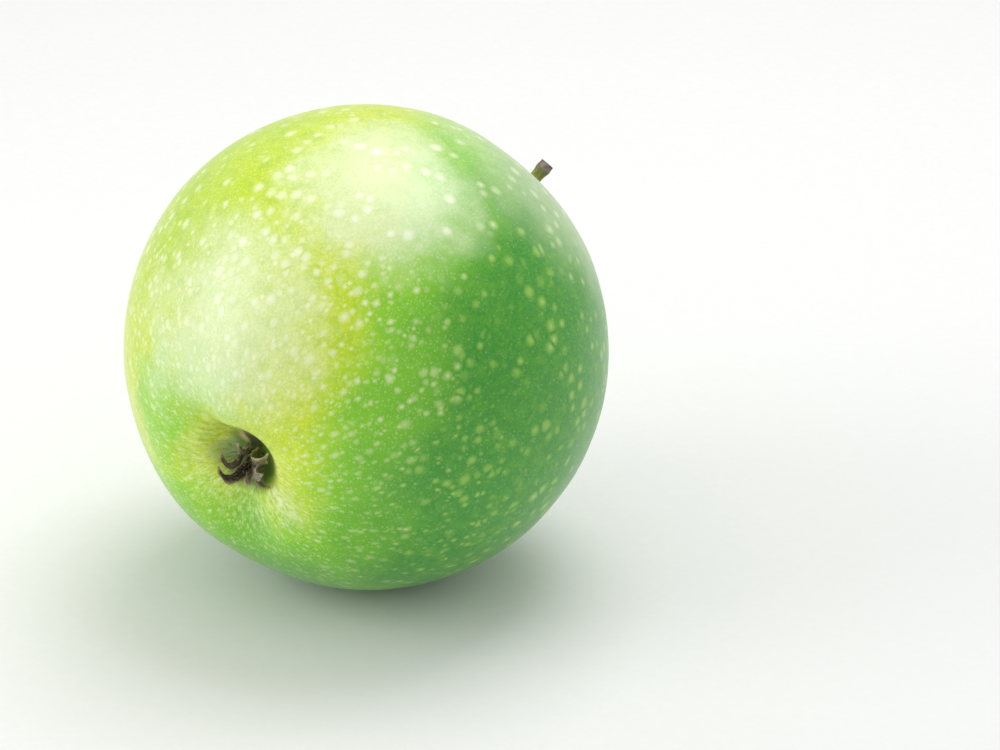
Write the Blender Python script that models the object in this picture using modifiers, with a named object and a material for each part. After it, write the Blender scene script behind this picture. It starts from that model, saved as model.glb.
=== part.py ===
"""A whole apple lying on its side, with its stalk and the dried flower remains in its calyx basin.

The apple is modelled about its core: the core is local Z, the stalk end is +Z and the calyx end is -Z.
An empty then lays it down, with the calyx facing -Y, on a small flat spot centred on the origin.
Metres and degrees; azimuths are measured round the core from local +X, and local +Y ends up facing down.
"""

import math

import bmesh
import bpy
from mathutils import Matrix, Vector

# --- Fruit: a body of two unlike halves, blended at its widest girth ---
FRUIT_RADIUS = 0.0381
STEM_HALF_HEIGHT = 0.0354
CALYX_HALF_HEIGHT = 0.0389
STEM_HALF_FULLNESS = 2.12
CALYX_HALF_FULLNESS = 1.89
HALVES_BLEND = 0.35
CORE_DIP = 12.5

# --- Hollow round the stalk ---
CAVITY_DEPTH = 0.0130
CAVITY_RADIUS = 0.0100
CAVITY_STEEPNESS = 1.7
CAVITY_FLOOR_RADIUS = 0.0016

# --- Basin round the calyx, with a steeper pit in its middle ---
BASIN_DEPTH = 0.0064
BASIN_RADIUS = 0.0104
BASIN_STEEPNESS = 2.0
PIT_DEPTH = 0.0026
PIT_RADIUS = 0.0061
PIT_STEEPNESS = 6.0
PIT_OFFSET = (0.0003, -0.0019)

# --- Gentle ribs of the fruit, and the folds that run into the basin ---
RIB_WAVES = ((5, 0.62), (3, 0.24), (2, 0.18))
SHOULDER_RIB_HEIGHT = 0.0007
SHOULDER_RIB_PHASE = 1.9
SHOULDER_REACH = 0.0210
SHOULDER_TILT = 0.0009
SHOULDER_TILT_AZIMUTH = -46.0
BASIN_RIB_HEIGHT = 0.00055
BASIN_RIB_PHASE = 0.6
BASIN_RIB_REACH = 0.0125
BASIN_UNEVENNESS = 0.04
BASIN_FOLDS = (
    # azimuth, depth (less than nothing for a ridge), width in degrees, distance from the core
    (-128.0, 0.0015, 20.0, 0.0080),
    (-92.0, -0.0005, 16.0, 0.0110),
    (94.0, 0.0010, 26.0, 0.0100),
    (47.0, -0.0006, 13.0, 0.0090),
)

# --- Flat spot it lies on ---
REST_SPOT_RADIUS = 0.0070

# --- Stalk ---
STALK_LENGTH = 0.0264
STALK_RADIUS = 0.00095
STALK_FOOT_RADIUS = 0.00135
STALK_TIP_RADIUS = 0.00110
STALK_FOOT_LENGTH = 0.0040
STALK_TIP_LENGTH = 0.0022
STALK_FOOT_STEEPNESS = 1.5
STALK_TIP_STEEPNESS = 2.0
STALK_LEAN = 41.0
STALK_LEAN_AZIMUTH = -56.0

# --- Calyx: five dried sepals, two of them split lengthwise, in a ring on the pit's floor ---
SEPAL_FOOT_RADIUS = 0.0020
SEPAL_THICKNESS = 0.00036
SEPAL_OUTLINE = (0.80, 0.90, -1.55)
SEPALS = (
    # name, azimuth of the foot, breadth as a share of the ring's radius, channel, twist, then
    # two handles and the tip in millimetres, as (x, y, height above the skin there)
    ("sepal_1", 126.0, 0.90, 0.75, 40.0, (-0.9, 2.3, 4.2), (-2.3, 1.6, 5.2), (-3.6, 0.1, 4.0)),
    ("sepal_1_strip", 172.0, 0.60, 0.20, 60.0, (-1.0, 0.6, 4.1), (-3.0, 0.6, 4.1), (-3.7, -1.7, 2.4)),
    ("sepal_2", -112.0, 0.65, 0.30, 50.0, (0.6, -1.6, 2.5), (0.2, -2.6, 3.0), (-0.6, -3.8, 2.1)),
    ("sepal_3", -32.0, 1.30, 0.45, 60.0, (1.6, -0.5, 3.2), (4.0, -1.5, 3.3), (5.4, -3.9, 0.8)),
    ("sepal_4", 22.0, 0.90, 0.25, 30.0, (1.0, 0.8, 2.9), (2.8, 1.0, 4.2), (4.7, -0.6, 2.9)),
    ("sepal_4_strip", 58.0, 0.50, 0.20, 0.0, (1.2, 2.0, 1.8), (2.2, 2.9, 2.1), (4.6, 2.6, 0.6)),
    ("sepal_5", 88.0, 0.65, 0.30, 0.0, (0.1, 2.1, 2.4), (0.6, 2.2, 3.7), (1.5, 2.7, 3.1)),
)

# --- Calyx: dried stamens in a ring just inside the sepals, and styles in the middle ---
STAMEN_COUNT = 12
STAMEN_LENGTH = 0.0029
STAMEN_RADIUS = 0.00012
ANTHER_RADIUS = 0.00021
STAMEN_SPLAY = -8.0
STYLE_COUNT = 5
STYLE_LENGTH = 0.0024
STYLE_RADIUS = 0.00012
STYLE_SPLAY = 6.0
THREAD_UNEVENNESS = 0.12

# --- Clearance and mesh density ---
SEAT_GAP = 0.0003
CALYX_GAP = 0.00045
FRUIT_SEGMENTS = 64
FRUIT_RINGS = 54
RING_CROWDING = 0.62
STALK_STEPS = 20
SEPAL_STEPS = 10
THREAD_STEPS = 7
MILLIMETRE = 0.001

SKIN = ("apple_skin", (0.36, 0.60, 0.07, 1.0), 0.32)
STALK_BARK = ("stalk_bark", (0.22, 0.20, 0.07, 1.0), 0.75)
DRY_SEPAL = ("dry_sepal", (0.22, 0.16, 0.10, 1.0), 0.90)
DRY_STAMEN = ("dry_stamen", (0.08, 0.055, 0.035, 1.0), 0.90)


def clear_scene():
    for obj in list(bpy.data.objects):
        bpy.data.objects.remove(obj)


def make_material(name, colour, roughness):
    made = bpy.data.materials.new(name)
    made.use_nodes = True
    shader = made.node_tree.nodes["Principled BSDF"]
    shader.inputs["Base Color"].default_value = colour
    shader.inputs["Roughness"].default_value = roughness
    shader.inputs["Metallic"].default_value = 0.0
    return made


def mix(first, second, share):
    return first + (second - first) * share


def bell(distance, reach, steepness):
    """1 on the core, falling to nothing past reach."""
    return math.exp(-((distance / reach) ** steepness))


def hump(distance, reach):
    """0 on the core, 1 at reach, and fading beyond it."""
    share = distance / reach
    return (share * math.exp(1.0 - share)) ** 2


def ribs(azimuth, phase):
    """Five uneven ribs round the core, between about -1 and 1: waves of unlike counts and heights."""
    return sum(
        share * math.cos(count * azimuth + (count - 4) * phase) for count, share in RIB_WAVES
    )


def beside(azimuth, fold_azimuth, width):
    """1 along a fold's azimuth, falling off to either side, with both angles in degrees."""
    off = math.remainder(azimuth - math.radians(fold_azimuth), math.tau)
    return math.exp(-((off / math.radians(width)) ** 2))


def cavity_depth_at(across):
    rounded = math.hypot(across, CAVITY_FLOOR_RADIUS) - CAVITY_FLOOR_RADIUS
    return CAVITY_DEPTH * bell(rounded, CAVITY_RADIUS, CAVITY_STEEPNESS)


def basin_depth_at(across, azimuth):
    x = across * math.cos(azimuth) - PIT_OFFSET[0]
    y = across * math.sin(azimuth) - PIT_OFFSET[1]
    reach = BASIN_RADIUS * (1.0 + BASIN_UNEVENNESS * ribs(azimuth, BASIN_RIB_PHASE))
    depth = BASIN_DEPTH * bell(across, reach, BASIN_STEEPNESS)
    depth += PIT_DEPTH * bell(math.hypot(x, y), PIT_RADIUS, PIT_STEEPNESS)
    for fold_azimuth, fold_depth, width, distance in BASIN_FOLDS:
        depth += fold_depth * beside(azimuth, fold_azimuth, width) * hump(across, distance)
    return depth


def skin_point(polar, azimuth):
    """Point on the skin, for a polar angle from the stalk end and an azimuth round the core."""
    along, across = math.cos(polar), math.sin(polar)
    stem_share = 0.5 + 0.5 * math.tanh(along / HALVES_BLEND)
    half_height = mix(CALYX_HALF_HEIGHT, STEM_HALF_HEIGHT, stem_share)
    fullness = mix(CALYX_HALF_FULLNESS, STEM_HALF_FULLNESS, stem_share)
    reach = (
        (across / FRUIT_RADIUS) ** fullness + (abs(along) / half_height) ** fullness
    ) ** (-1.0 / fullness)
    across, height = reach * across, reach * along
    if along > 0.0:
        shoulder = hump(across, SHOULDER_REACH) * along
        tilt = math.cos(azimuth - math.radians(SHOULDER_TILT_AZIMUTH))
        height += SHOULDER_RIB_HEIGHT * ribs(azimuth, SHOULDER_RIB_PHASE) * shoulder
        height += SHOULDER_TILT * tilt * shoulder
        height -= cavity_depth_at(across)
    else:
        rim = hump(across, BASIN_RIB_REACH) * -along
        height -= BASIN_RIB_HEIGHT * ribs(azimuth, BASIN_RIB_PHASE) * rim
        height += basin_depth_at(across, azimuth)
    return Vector((across * math.cos(azimuth), across * math.sin(azimuth), height))


def crowded(share):
    """Shares from 0 to 1 that crowd towards both ends, where the hollows need more rings."""
    return share - RING_CROWDING * math.sin(math.tau * share) / math.tau


def skin_height(across, azimuth, stem_end):
    """Height along the core of the skin at a small distance from the core, at one end of the fruit."""
    low, high = 0.0, math.pi / 4
    for _ in range(40):
        middle = (low + high) / 2
        polar = middle if stem_end else math.pi - middle
        point = skin_point(polar, azimuth)
        if math.hypot(point.x, point.y) < across:
            low = middle
        else:
            high = middle
    return point.z


def build_fruit(laid_down):
    """The fruit as a mesh about its core, cut flat underneath, and the flat spot's centre."""
    body = bmesh.new()
    bmesh.ops.create_uvsphere(
        body, u_segments=FRUIT_SEGMENTS, v_segments=FRUIT_RINGS, radius=1.0
    )
    for vert in body.verts:
        polar = math.acos(max(-1.0, min(1.0, vert.co.z)))
        polar = math.pi * crowded(polar / math.pi)
        vert.co = skin_point(polar, math.atan2(vert.co.y, vert.co.x))
    up = laid_down.inverted() @ Vector((0.0, 0.0, 1.0))
    lowest = min(vert.co.dot(up) for vert in body.verts)
    spot_depth = REST_SPOT_RADIUS**2 / (2 * FRUIT_RADIUS)
    everything = body.verts[:] + body.edges[:] + body.faces[:]
    cut = bmesh.ops.bisect_plane(
        body,
        geom=everything,
        dist=1e-6,
        plane_co=up * (lowest + spot_depth),
        plane_no=-up,
        clear_outer=True,
    )
    rim = [item for item in cut["geom_cut"] if isinstance(item, bmesh.types.BMEdge)]
    spot = bmesh.ops.contextual_create(body, geom=rim)["faces"][0]
    centre = spot.calc_center_median()
    bmesh.ops.recalc_face_normals(body, faces=body.faces)
    for face in body.faces:
        face.smooth = True
    mesh = bpy.data.meshes.new("fruit")
    body.to_mesh(mesh)
    body.free()
    return mesh, centre


def add_part(name, data, material, parent, collection):
    data.materials.append(material)
    obj = bpy.data.objects.new(name, data)
    obj.parent = parent
    collection.objects.link(obj)
    return obj


def tube(name, points, radii, sides_level):
    """A solid tube along points, with its own radius at each of them."""
    curve = bpy.data.curves.new(name, "CURVE")
    curve.dimensions = "3D"
    curve.bevel_depth = 1.0
    curve.bevel_resolution = sides_level
    curve.use_fill_caps = True
    line = curve.splines.new("POLY")
    line.points.add(len(points) - 1)
    for spot, place, radius in zip(line.points, points, radii):
        spot.co = (*place, 1.0)
        spot.radius = radius
    return curve


def stalk_curve():
    """The stalk: straight out of the hollow, then leaning over to one side, with a swollen foot and tip."""
    foot = skin_height(STALK_FOOT_RADIUS, 0.0, stem_end=True) + SEAT_GAP
    lean_to = Matrix.Rotation(math.radians(STALK_LEAN_AZIMUTH), 3, "Z") @ Vector((1, 0, 0))
    place = Vector((0.0, 0.0, foot))
    points, radii = [], []
    for step in range(STALK_STEPS + 1):
        share = step / STALK_STEPS
        points.append(place.copy())
        at_foot = bell(share * STALK_LENGTH, STALK_FOOT_LENGTH, STALK_FOOT_STEEPNESS)
        at_tip = bell((1 - share) * STALK_LENGTH, STALK_TIP_LENGTH, STALK_TIP_STEEPNESS)
        swelling = (STALK_FOOT_RADIUS - STALK_RADIUS) * at_foot
        swelling += (STALK_TIP_RADIUS - STALK_RADIUS) * at_tip
        radii.append(STALK_RADIUS + swelling)
        lean = math.radians(STALK_LEAN) * share
        heading = Vector((0, 0, 1)) * math.cos(lean) + lean_to * math.sin(lean)
        place += heading * STALK_LENGTH / STALK_STEPS
    return tube("stalk", points, radii, 3)


def bezier(points, share):
    """Point on the Bezier curve that these points control."""
    while len(points) > 1:
        points = [first.lerp(second, share) for first, second in zip(points, points[1:])]
    return points[0]


def above_calyx_skin(x, y, height):
    """Point that stands this far out of the basin, above the skin at x and y."""
    skin = skin_height(math.hypot(x, y), math.atan2(y, x), stem_end=False)
    return Vector((x, y, skin - height))


def sepal_frames(spine, azimuth, twist):
    """The blade's sideways and inner directions at each point of its spine."""
    across = Vector((-math.sin(azimuth), math.cos(azimuth), 0.0))
    frames = []
    for step in range(SEPAL_STEPS + 1):
        heading = (spine[min(step + 1, SEPAL_STEPS)] - spine[max(step - 1, 0)]).normalized()
        across = (across - heading * across.dot(heading)).normalized()
        turned = Matrix.Rotation(math.radians(twist) * step / SEPAL_STEPS, 3, heading) @ across
        frames.append((turned, heading.cross(turned)))
    return frames


def sepal_mesh(foot_azimuth, breadth, channel, twist, *handles):
    """A narrow blade that stands on the pit's floor, leans over the calyx and tapers to its tip."""
    azimuth = math.radians(foot_azimuth)
    outward = Vector((math.cos(azimuth), math.sin(azimuth), 0.0))
    foot_height = skin_height(SEPAL_FOOT_RADIUS + SEPAL_THICKNESS, azimuth, stem_end=False)
    control = [outward * SEPAL_FOOT_RADIUS + Vector((0.0, 0.0, foot_height - 2 * SEAT_GAP))]
    control += [above_calyx_skin(*(Vector(handle) * MILLIMETRE)) for handle in handles]
    spine = [bezier(control, step / SEPAL_STEPS) for step in range(SEPAL_STEPS + 1)]
    frames = sepal_frames(spine, azimuth, twist)

    blade = bmesh.new()
    bmesh.ops.create_grid(blade, x_segments=4, y_segments=SEPAL_STEPS, size=1.0)
    at_foot, slope, curvature = SEPAL_OUTLINE
    for vert in blade.verts:
        side, step = vert.co.x, round((vert.co.y + 1) / 2 * SEPAL_STEPS)
        share = step / SEPAL_STEPS
        outline = at_foot + slope * share + curvature * share**2
        half_width = SEPAL_FOOT_RADIUS * breadth / 2 * outline
        sideways, inner_face = frames[step]
        rolled = inner_face * half_width * channel * side**2
        vert.co = spine[step] + sideways * half_width * side + rolled
    bmesh.ops.recalc_face_normals(blade, faces=blade.faces)
    mesh = bpy.data.meshes.new("sepal")
    blade.to_mesh(mesh)
    blade.free()
    return mesh


def thread_curve(name, azimuth, ring_radius, length, radius, tip_radius, splay):
    """A dried thread that stands in the middle of the calyx and may end in a small knob."""
    outward = Vector((math.cos(azimuth), math.sin(azimuth), 0.0))
    floor = skin_height(ring_radius + radius, azimuth, stem_end=False)
    place = outward * ring_radius + Vector((0.0, 0.0, floor - SEAT_GAP))
    points, radii = [], []
    for step in range(THREAD_STEPS + 1):
        share = step / THREAD_STEPS
        points.append(place.copy())
        radii.append(mix(radius, tip_radius, share**6))
        lean = math.radians(splay) * share
        heading = Vector((0, 0, -1)) * math.cos(lean) + outward * math.sin(lean)
        place += heading * length / THREAD_STEPS
    return tube(name, points, radii, 1)


def threads(kind, count, ring_radius, length, radius, tip_radius, splay):
    """A ring of threads of slightly uneven length, as pairs of a name and a curve."""
    for number in range(count):
        azimuth = math.tau * (number + 0.5) / count
        uneven = length * (1.0 + THREAD_UNEVENNESS * math.cos(7 * azimuth))
        name = f"{kind}_{number + 1}"
        yield name, thread_curve(name, azimuth, ring_radius, uneven, radius, tip_radius, splay)


def main():
    clear_scene()
    apple = bpy.data.collections.new("apple")
    bpy.context.scene.collection.children.link(apple)
    skin, bark, sepal_dry, stamen_dry = (
        make_material(*finish) for finish in (SKIN, STALK_BARK, DRY_SEPAL, DRY_STAMEN)
    )

    laid_down = Matrix.Rotation(math.radians(CORE_DIP - 90.0), 3, "X")
    fruit_mesh, spot_centre = build_fruit(laid_down)
    core = bpy.data.objects.new("core_axis", None)
    core.rotation_euler = laid_down.to_euler()
    core.location = -(laid_down @ spot_centre)
    apple.objects.link(core)

    add_part("fruit", fruit_mesh, skin, core, apple)
    add_part("stalk", stalk_curve(), bark, core, apple)

    for name, *shape in SEPALS:
        sepal = add_part(name, sepal_mesh(*shape), sepal_dry, core, apple)
        shell = sepal.modifiers.new("thickness", "SOLIDIFY")
        shell.thickness = SEPAL_THICKNESS
        shell.offset = 0.0
        soft = sepal.modifiers.new("soft_form", "SUBSURF")
        soft.levels = soft.render_levels = 1

    stamen_ring = SEPAL_FOOT_RADIUS - SEPAL_THICKNESS / 2 - CALYX_GAP - STAMEN_RADIUS
    stamen = (STAMEN_LENGTH, STAMEN_RADIUS, ANTHER_RADIUS, STAMEN_SPLAY)
    style_ring = (STYLE_RADIUS + SEAT_GAP / 2) / math.sin(math.pi / STYLE_COUNT)
    style = (STYLE_LENGTH, STYLE_RADIUS, STYLE_RADIUS, STYLE_SPLAY)
    for name, thread in threads("stamen", STAMEN_COUNT, stamen_ring, *stamen):
        add_part(name, thread, stamen_dry, core, apple)
    for name, thread in threads("style", STYLE_COUNT, style_ring, *style):
        add_part(name, thread, stamen_dry, core, apple)


main()
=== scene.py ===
"""A green apple lying on its side: waxy spotted skin, a ridged stalk and a dried calyx with downy sepals.

The fruit, the stalk, the threads and the down are grown by node trees that are built here.
A rule that is written once as arithmetic works on plain numbers and on a tree's fields alike.
Rules are about the apple's core: local +Z is the stalk end, -Z the calyx end, and azimuths start at local +X.
Sizes are in metres unless a name says otherwise.
"""

import math
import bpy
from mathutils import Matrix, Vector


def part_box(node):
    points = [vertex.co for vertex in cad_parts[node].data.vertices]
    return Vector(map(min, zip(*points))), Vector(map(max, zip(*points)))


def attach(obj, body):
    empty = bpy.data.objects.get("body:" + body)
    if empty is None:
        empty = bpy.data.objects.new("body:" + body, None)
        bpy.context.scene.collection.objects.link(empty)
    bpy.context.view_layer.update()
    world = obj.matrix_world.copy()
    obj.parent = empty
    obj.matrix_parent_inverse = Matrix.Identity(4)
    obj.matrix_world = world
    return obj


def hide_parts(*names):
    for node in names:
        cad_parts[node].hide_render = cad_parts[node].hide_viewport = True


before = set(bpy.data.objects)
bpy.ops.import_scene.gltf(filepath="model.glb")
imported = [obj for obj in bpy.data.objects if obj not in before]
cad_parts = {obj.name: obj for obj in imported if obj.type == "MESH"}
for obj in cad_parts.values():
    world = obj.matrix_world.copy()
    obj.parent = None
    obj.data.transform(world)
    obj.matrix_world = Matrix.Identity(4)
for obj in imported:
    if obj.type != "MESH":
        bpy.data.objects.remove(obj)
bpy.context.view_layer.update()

from types import SimpleNamespace

import bpy
import numpy as np
from mathutils import Matrix, Vector

TAU = math.tau
MM = 0.001

# --- The fruit's own sizes ---
FRUIT_SIZES = {
    "fruit_radius": 0.0381,
    "stem_half_height": 0.0354,
    "calyx_half_height": 0.0389,
    "stem_half_fullness": 2.12,
    "calyx_half_fullness": 1.89,
    "halves_blend": 0.35,
    "cavity_depth": 0.0130,
    "cavity_radius": 0.0100,
    "cavity_steepness": 1.7,
    "cavity_floor_radius": 0.0016,
    "basin_depth": 0.0064,
    "basin_radius": 0.0104,
    "basin_unevenness": 0.04,
    "pit_depth": 0.0026,
    "pit_radius": 0.0061,
    "pit_steepness": 6.0,
    "pit_offset_x": 0.0003,
    "pit_offset_y": -0.0019,
    "shoulder_rib_height": 0.0007,
    "shoulder_reach": 0.0210,
    "shoulder_tilt": 0.0009,
    "shoulder_tilt_azimuth": math.radians(-46.0),
    "basin_rib_height": 0.00055,
    "basin_rib_reach": 0.0125,
    "lay_down_angle": math.radians(12.5 - 90.0),
    "waviness": 0.00010,
    "ring_crowding": 0.62,
}
RIB_WAVES = ((5, 0.62), (3, 0.24), (2, 0.18))
SHOULDER_RIB_PHASE = 1.9
BASIN_RIB_PHASE = 0.6
BASIN_FOLDS = (
    # azimuth and width in degrees, depth, distance from the core
    (-128.0, 20.0, 0.0015, 0.0080),
    (-92.0, 16.0, -0.0005, 0.0110),
    (94.0, 26.0, 0.0010, 0.0100),
    (47.0, 13.0, -0.0006, 0.0090),
)
CAD_SEGMENTS, CAD_RINGS = 64, 54
FRUIT_SEGMENTS, FRUIT_RINGS = 320, 300

# --- Stalk ---
STALK_SIZES = {
    "length": 0.0264,
    "radius": 0.00095,
    "foot_radius": 0.00135,
    "tip_radius": 0.00112,
    "foot_length": 0.0040,
    "tip_length": 0.0022,
    "lean": math.radians(41.0),
    "lean_azimuth": math.radians(-56.0),
    "lean_delay": 0.025,
    "ridge_height": 0.00011,
    "rooting": 0.0009,
}
STALK_SEGMENTS, STALK_RINGS = 48, 170
STALK_CAPS = (0.03, 0.93)  # shares of the ball that close the stalk's foot and its cut tip
STALK_LIFT = 0.0003

# --- Dried calyx ---
SEPAL_FOOT_RADIUS = 0.0020
SEPAL_FOOT_CLEARANCE = 0.00036  # the foot's height is taken this much further from the core
SEPAL_FOOT_LIFT = 0.0002
SEPAL_THICKNESS = 0.00030
SEPAL_OUTLINE = (0.80, 0.90, -1.55)  # breadth at the foot, then its slope and curvature
SEPAL_SEED = 310
SEPALS = (
    # name, azimuth of the foot, breadth as a share of the ring's radius, channel, twist, then
    # two handles and the tip in millimetres, as (x, y, height above the skin there)
    ("sepal_1", 126.0, 1.10, 0.75, 40.0, (-0.9, 2.3, 4.2), (-2.3, 1.6, 5.2), (-3.6, 0.1, 4.0)),
    ("sepal_1_strip", 172.0, 0.72, 0.20, 60.0, (-1.0, 0.6, 4.1), (-3.0, 0.6, 4.1), (-3.7, -1.7, 2.4)),
    ("sepal_2", -112.0, 0.78, 0.30, 50.0, (0.6, -1.6, 2.5), (0.2, -2.6, 3.0), (-0.6, -3.8, 2.1)),
    ("sepal_3", -32.0, 1.45, 0.45, 60.0, (1.6, -0.5, 3.2), (4.0, -1.5, 3.3), (5.4, -3.9, 0.8)),
    ("sepal_4", 22.0, 1.25, 0.25, 30.0, (1.0, 0.8, 2.9), (2.8, 1.0, 4.2), (4.7, -0.6, 2.9)),
    ("sepal_4_strip", 58.0, 0.60, 0.20, 0.0, (1.2, 2.0, 1.8), (2.2, 2.9, 2.1), (4.6, 2.6, 0.6)),
    ("sepal_5", 88.0, 0.78, 0.30, 0.0, (0.1, 2.1, 2.4), (0.6, 2.2, 3.7), (1.5, 2.7, 3.1)),
)
SEPAL_SEGMENTS, SEPAL_RINGS = 44, 72
SEPAL_TONES = {  # how dark, how grey and how green each dried blade has gone
    "sepal_1": (0.85, 0.10, 0.0),
    "sepal_1_strip": (0.55, 0.25, 0.0),
    "sepal_2": (0.25, 0.15, 0.25),
    "sepal_3": (0.15, 0.10, 0.80),
    "sepal_4": (0.10, 0.90, 0.10),
    "sepal_4_strip": (0.60, 0.30, 0.0),
    "sepal_5": (0.10, 0.30, 0.90),
}
DOWN_SIZES = {
    "hairs_per_square_metre": 3.2e7,
    "hair_radius": 0.000010,
    "hair_length": 0.00034,
    "seed": 11,
}
STAMEN_SIZES = {
    "count": 12,
    "ring_radius": 0.00125,
    "length": 0.0031,
    "radius": 0.00010,
    "knob_radius": 0.00026,
    "splay": math.radians(-6.0),
    "unevenness": 0.25,
}
STYLE_SIZES = {
    "count": 5,
    "ring_radius": 0.00046,
    "length": 0.0026,
    "radius": 0.00012,
    "knob_radius": 0.00016,
    "splay": math.radians(6.0),
    "unevenness": 0.15,
}
THREAD_SEGMENTS, THREAD_RINGS = 12, 26
THREAD_CAPS = (0.04, 0.94)
THREADS_STAND_AT = (0.0013, 0.3)  # distance from the core and azimuth, on the basin's floor
THREAD_LIFT = 0.0004

# --- Studio ---
FLOOR_REACH = 3.0
CAMERA_AZIMUTH = math.radians(33.7)  # from straight in front, towards +X
CAMERA_ELEVATION = math.radians(25.0)
CAMERA_DISTANCE = 0.7
CAMERA_LENS = 161.3  # in millimetres, for a 36 mm sensor
TARGET_RIGHT, TARGET_BELOW = 0.0210, 0.0041  # the camera looks beside the fruit's middle
SOFTBOX_DISTANCE = 0.55
WORLD_STRENGTH = 0.72

# --- Colours, as shares of red, green and blue light ---
SKIN = SimpleNamespace(
    sunny=(0.60, 0.72, 0.008),
    sunny_far_side=(0.38, 0.60, 0.015),
    green=(0.22, 0.61, 0.004),
    deep_green_painted_shade=(0.022, 0.28, 0.010),
    bloom_and_painted_highlight=(0.76, 0.85, 0.55),
    cloud=(0.16, 0.46, 0.010),
    network=(0.32, 0.58, 0.010),
    fleck=(0.84, 0.92, 0.52),
    dot=(0.78, 0.86, 0.46),
    spot=(0.80, 0.87, 0.50),
    spot_on_deep_green_shade=(0.34, 0.60, 0.08),
    spot_on_painted_highlight=(0.92, 0.95, 0.76),
    spot_middle=(0.92, 0.94, 0.76),
    pale_streak_and_sheen=(0.72, 0.80, 0.36),
    dark_streak=(0.10, 0.24, 0.04),
    painted_ridge_highlight=(0.80, 0.86, 0.55),
    painted_fold_shade=(0.14, 0.33, 0.02),
    pit_russet=(0.33, 0.27, 0.10),
    pit_painted_shade=(0.05, 0.17, 0.008),
    lit_wall=(0.42, 0.52, 0.22),
    painted_hollow_shade=(0.035, 0.040, 0.010),
    curl=(0.58, 0.42, 0.22),
    cavity_olive=(0.20, 0.26, 0.055),
    cavity_russet=(0.36, 0.27, 0.12),
)
BARK = SimpleNamespace(
    yellow_olive=(0.40, 0.34, 0.08),
    green_olive=(0.18, 0.22, 0.035),
    thread=(0.55, 0.45, 0.19),
    crack=(0.10, 0.08, 0.035),
    foot=(0.26, 0.19, 0.09),
    collar=(0.13, 0.070, 0.060),
    collar_cloud=(0.42, 0.34, 0.36),
    collar_speck=(0.38, 0.32, 0.28),
    speck=(0.06, 0.05, 0.03),
    pith=(0.42, 0.33, 0.20),
    end_rim=(0.20, 0.14, 0.08),
    end_speck=(0.10, 0.07, 0.04),
)
BLADE = SimpleNamespace(
    dark_brown=(0.050, 0.034, 0.018),
    brown=(0.20, 0.145, 0.075),
    olive_foot=(0.10, 0.115, 0.022),
    tan_fibre=(0.46, 0.34, 0.19),
    green=(0.13, 0.20, 0.03),
    grey=(0.36, 0.35, 0.30),
    black_brown=(0.012, 0.009, 0.006),
    tan_edge=(0.62, 0.47, 0.27),
    pale_green_tip=(0.42, 0.50, 0.24),
    speck=(0.022, 0.015, 0.009),
)
THREAD = SimpleNamespace(dark=(0.030, 0.019, 0.011), light=(0.095, 0.062, 0.034), dust=(0.30, 0.22, 0.13))
DOWN = SimpleNamespace(dark=(0.34, 0.30, 0.22), light=(0.60, 0.57, 0.48))
PAPER = SimpleNamespace(dark=(0.80, 0.81, 0.79), light=(0.84, 0.84, 0.83))

# --- Where the skin's colours, its painted shade and its painted highlights lie, as directions from the fruit's middle ---
SKIN_RADIUS = 38.0  # in millimetres
# the side that is painted darker green as shade
PAINTED_SHADE_SIDE = (0.868, 0.411, -0.299)
GREEN_CHEEK = ((-0.21, -0.977, -0.03), 0.90, 0.85)  # direction, edge, strength
# pale patches of painted highlight facing the two softboxes, and of painted reflection on the upper shoulder
PAINTED_HIGHLIGHTS = (
    ((0.307, -0.315, 0.899), 0.88, 1.0),
    ((-0.085, -0.889, 0.450), 0.845, 1.0),
    ((0.48, 0.54, 0.690), 0.81, 0.70),
)
SMALL_SPOT_SHIFT = (7.3, 2.1, 4.7)  # keeps the small spots off the large ones' pattern


# --- Arithmetic that builds nodes ---
class Field:
    """A value that a node tree works out. Arithmetic on it adds nodes to that tree."""

    def __init__(self, socket):
        self.socket = socket
        self.tree = socket.id_data

    def __add__(self, other):
        return work("ADD", self, other)

    def __radd__(self, other):
        return work("ADD", other, self)

    def __sub__(self, other):
        return work("SUBTRACT", self, other)

    def __rsub__(self, other):
        return work("SUBTRACT", other, self)

    def __mul__(self, other):
        return work("MULTIPLY", self, other)

    def __rmul__(self, other):
        return work("MULTIPLY", other, self)

    def __truediv__(self, other):
        return work("DIVIDE", self, other)

    def __rtruediv__(self, other):
        return work("DIVIDE", other, self)

    def __pow__(self, other):
        return work("POWER", self, other)

    def __neg__(self):
        return work("MULTIPLY", self, -1.0)


PLAIN_WORK = {
    "COSINE": np.cos,
    "SINE": np.sin,
    "TANH": np.tanh,
    "SQRT": np.sqrt,
    "EXPONENT": np.exp,
    "ABSOLUTE": np.abs,
    "GREATER_THAN": lambda a, b: (np.asarray(a) > b) * 1.0,
    "WRAP": lambda a, top, low: np.mod(a - low, top - low) + low,
}


def feed(socket, value):
    """Links a field to a socket, or sets a plain value on it."""
    if isinstance(value, Field):
        socket.id_data.links.new(value.socket, socket)
    else:
        socket.default_value = value


def add_node(tree, kind, inputs=(), **settings):
    """A node with these settings, fed with fields or with plain values."""
    made = tree.nodes.new(kind)
    for key, value in settings.items():
        setattr(made, key, value)
    for key, value in inputs.items() if isinstance(inputs, dict) else enumerate(inputs):
        feed(made.inputs[key], value)
    return made


def work(operation, *values):
    """One step of arithmetic: a node where a value is a field, and plain numbers where none is."""
    fields = [value for value in values if isinstance(value, Field)]
    if not fields:
        return PLAIN_WORK[operation](*values)
    return Field(add_node(fields[0].tree, "ShaderNodeMath", values, operation=operation).outputs[0])


def cosine(value):
    return work("COSINE", value)


def sine(value):
    return work("SINE", value)


def exponent(value):
    return work("EXPONENT", value)


def hypotenuse(first, second):
    return work("SQRT", first * first + second * second)


def mix(first, second, share):
    return first + (second - first) * share


def largest(first, second):
    return work("MAXIMUM", first, second)


def smallest(first, second):
    return work("MINIMUM", first, second)


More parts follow.
